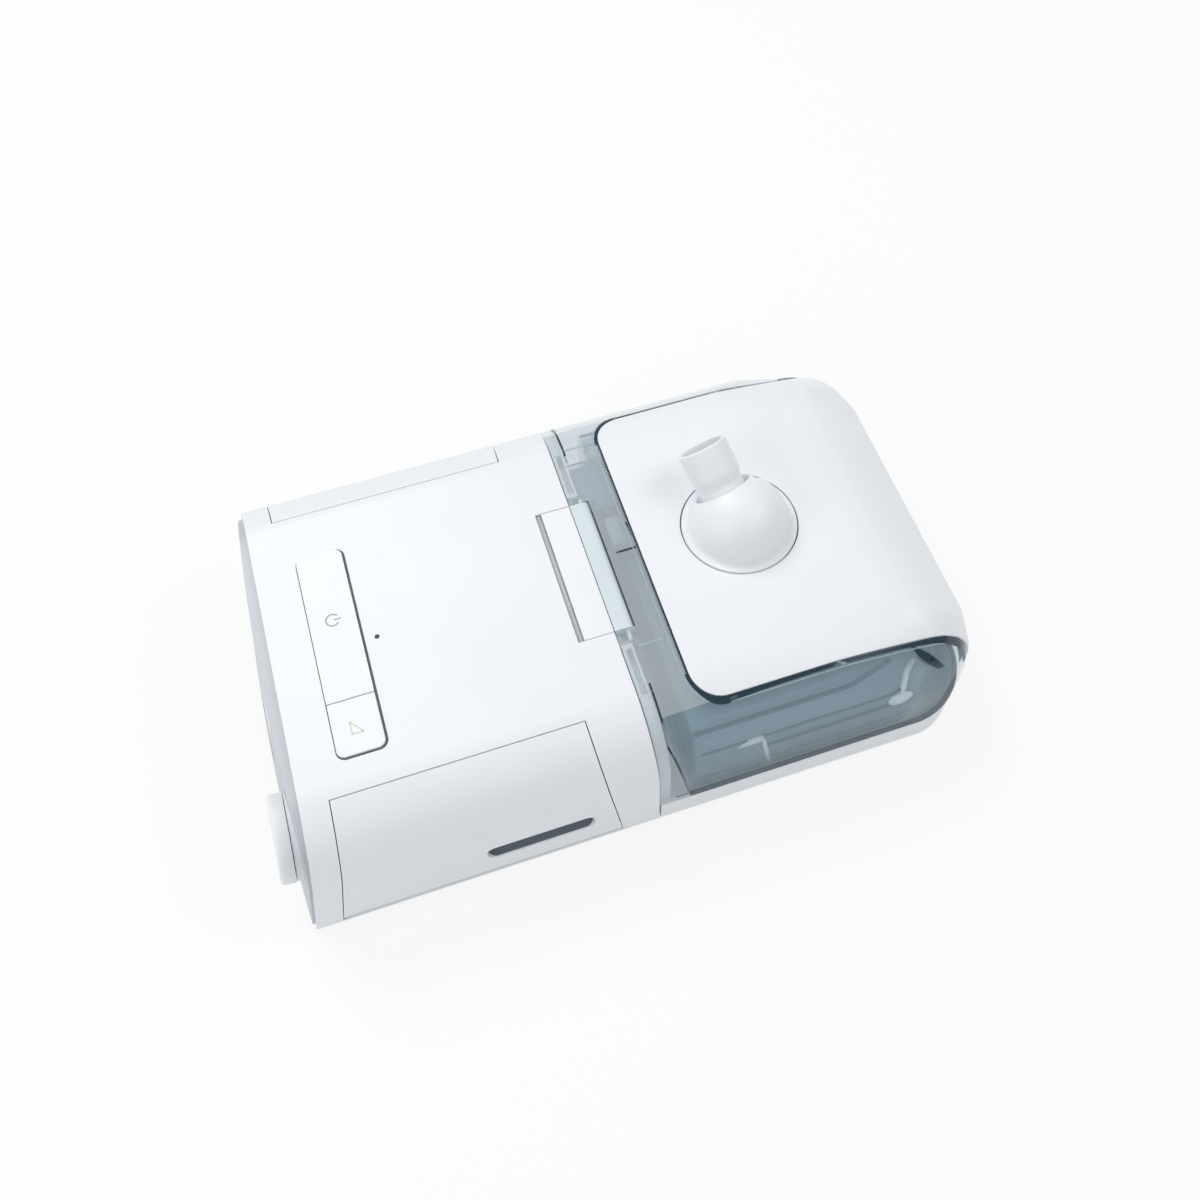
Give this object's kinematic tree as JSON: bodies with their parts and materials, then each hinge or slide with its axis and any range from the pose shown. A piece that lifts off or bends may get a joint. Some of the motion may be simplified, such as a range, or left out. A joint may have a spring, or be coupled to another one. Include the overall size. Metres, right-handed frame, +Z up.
{
  "type": "cpap machine",
  "caption": "Bedside CPAP therapy unit with docked heated humidifier, see-through hinged lid, swivel hose outlet, top keys and a push-and-turn dial.",
  "frame": {"origin": "middle of the footprint's bounding box, on the table under the feet", "axes": "+X from the display face to the humidifier's far end, +Y away from the side with the air slot, +Z up"},
  "size_m": [0.3191, 0.184, 0.1114],
  "materials": {
    "white_housing": "fine satin",
    "white_trim": "smooth semi-gloss",
    "grey_face": "satin",
    "dark_window": "polished",
    "tinted_lid": "polished, blue-grey see-through",
    "pale_clear": "polished, pale see-through",
    "clear_tank": "polished, see-through",
    "dark_rubber": "matte",
    "silicone": "satin",
    "steel": "drawn",
    "heater_metal": "brushed",
    "circuit_board": "solder mask",
    "dark_plastic": "fine texture",
    "inner_plastic": "moulded",
    "filter_foam": "open foam"
  },
  "bodies": {
    "therapy_unit": {"base_pan": "white_housing", "top_cover": "white_housing", "front_bezel": "grey_face", "display_window": "dark_window", "lcd_module": "dark_plastic", "rear_panel": "grey_face", "main_board": "circuit_board", "encoder": "dark_plastic", "key_switches": "dark_plastic", "light_sensor": "dark_plastic", "card_reader": "dark_plastic", "data_card": "dark_plastic", "blower_lower": "inner_plastic", "blower_upper": "inner_plastic", "motor": "dark_plastic", "motor_bearings": "steel", "blower_mounts": "dark_rubber", "outlet_duct": "inner_plastic", "inlet_box": "inner_plastic", "silencer_foam": "filter_foam", "filter_frame": "inner_plastic", "pollen_filter": "filter_foam", "fine_filter": "filter_foam", "modem_blank": "inner_plastic", "dock_socket": "dark_plastic", "housing_screws": "steel", "feet": "dark_rubber", "door_hinge_pins": "steel", "button_springs": "steel", "dial_spring": "steel"},
    "power_key": {"power_button": "white_trim"},
    "ramp_key": {"ramp_button": "white_trim"},
    "dial_carriage": {"dial_plunger": "dark_plastic"},
    "dial": {"control_dial": "white_trim"},
    "filter_door": {"filter_door": "white_housing"},
    "modem_door": {"modem_door": "white_housing"},
    "rotor": {"impeller": "inner_plastic", "impeller_shaft": "steel"},
    "humidifier": {"humidifier_base": "white_housing", "heater_plate": "heater_metal", "heater_gasket": "silicone", "heater_element": "heater_metal", "water_tank": "clear_tank", "tank_cover": "clear_tank", "tank_plate": "heater_metal", "dry_box": "clear_tank", "inlet_seal": "silicone", "dock_connector": "dark_plastic", "power_inlet": "dark_plastic", "humidifier_feet": "dark_rubber", "lid_hinge_pins": "steel"},
    "release_key": {"release_button": "grey_face"},
    "lid": {"lid_shell": "tinted_lid", "lid_cover": "white_trim", "lid_seal": "silicone", "swivel_collar": "grey_face"},
    "latch": {"lid_latch": "pale_clear", "latch_pad": "white_trim"},
    "elbow": {"outlet_elbow": "white_trim", "swivel_ring": "silicone"}
  },
  "joints": [
    {"name": "power_press", "type": "slide", "parent": "therapy_unit", "child": "power_key", "axis": [0, 0, -1], "range_m": [0, 0.001], "stiffness_N_per_m": 900, "springref_m": -0.0006, "deforming": ["button_springs"]},
    {"name": "ramp_press", "type": "slide", "parent": "therapy_unit", "child": "ramp_key", "axis": [0, 0, -1], "range_m": [0, 0.001], "stiffness_N_per_m": 900, "springref_m": -0.0006, "deforming": ["button_springs"]},
    {"name": "dial_press", "type": "slide", "parent": "therapy_unit", "child": "dial_carriage", "axis": [0.9744, 0, -0.2249], "range_m": [0, 0.0008], "stiffness_N_per_m": 1500, "springref_m": -0.0006, "deforming": ["dial_spring"]},
    {"name": "dial_turn", "type": "hinge", "parent": "dial_carriage", "child": "dial", "pos_m": [-0.15551, -0.064, 0.04729], "axis": [-0.9744, 0, 0.2249], "continuous": true},
    {"name": "filter_door_open", "type": "hinge", "parent": "therapy_unit", "child": "filter_door", "pos_m": [-0.07913, -0.0894, 0.0095], "axis": [1, 0, 0], "range_deg": [0, 80]},
    {"name": "modem_door_open", "type": "hinge", "parent": "therapy_unit", "child": "modem_door", "pos_m": [-0.07913, 0.0894, 0.0095], "axis": [-1, 0, 0], "range_deg": [0, 80]},
    {"name": "rotor_spin", "type": "hinge", "parent": "therapy_unit", "child": "rotor", "pos_m": [-0.05913, 0.014, 0.027], "axis": [0, 0, 1], "continuous": true},
    {"name": "undock", "type": "slide", "parent": "therapy_unit", "child": "humidifier", "axis": [1, 0, 0], "range_m": [0, 0.03]},
    {"name": "release_press", "type": "slide", "parent": "humidifier", "child": "release_key", "axis": [-1, 0, 0], "range_m": [0, 0.003], "stiffness_N_per_m": 700, "springref_m": -0.001},
    {"name": "lid_open", "type": "hinge", "parent": "humidifier", "child": "lid", "pos_m": [0.15607, 0, 0.0236], "axis": [0, 1, 0], "range_deg": [0, 75]},
    {"name": "latch_lift", "type": "hinge", "parent": "lid", "child": "latch", "pos_m": [0.00687, 0, 0.0752], "axis": [0, 1, 0], "range_deg": [0, 20], "stiffness_Nm_per_rad": 0.08, "springref_deg": -20.05},
    {"name": "elbow_turn", "type": "hinge", "parent": "lid", "child": "elbow", "pos_m": [0.06887, 0, 0.0785], "axis": [0, 0, 1], "continuous": true}
  ]
}
